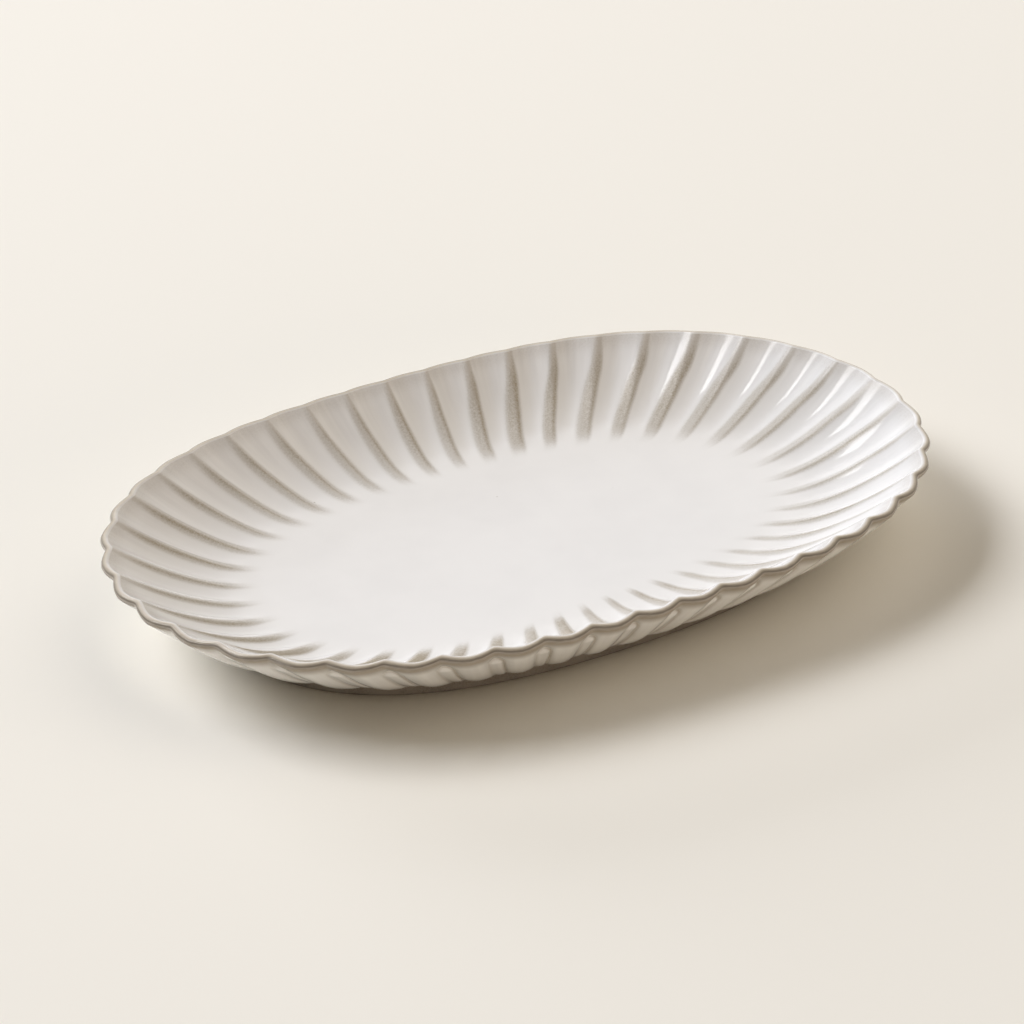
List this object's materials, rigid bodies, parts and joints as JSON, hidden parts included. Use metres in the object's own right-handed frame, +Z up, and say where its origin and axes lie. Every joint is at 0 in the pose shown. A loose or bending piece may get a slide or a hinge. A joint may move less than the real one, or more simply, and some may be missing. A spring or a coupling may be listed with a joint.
{
  "type": "oval plate",
  "caption": "Oval serving plate with a flat well and a fluted wall sweeping up to a scalloped lip, off-white glaze over a stoneware body that stands on a bare foot ring.",
  "frame": {"origin": "on the table, under the middle of the plate", "axes": "+X along the plate's length, +Y across it, +Z up"},
  "size_m": [0.3594, 0.2282, 0.0371],
  "materials": {
    "bare_stoneware": "bare fired clay, matt",
    "glaze": "glossy off-white glaze that thins to brown on ridges and rim"
  },
  "bodies": {
    "root": {"stoneware_body": "bare_stoneware", "face_glaze": "glaze", "base_glaze": "glaze"}
  },
  "joints": []
}
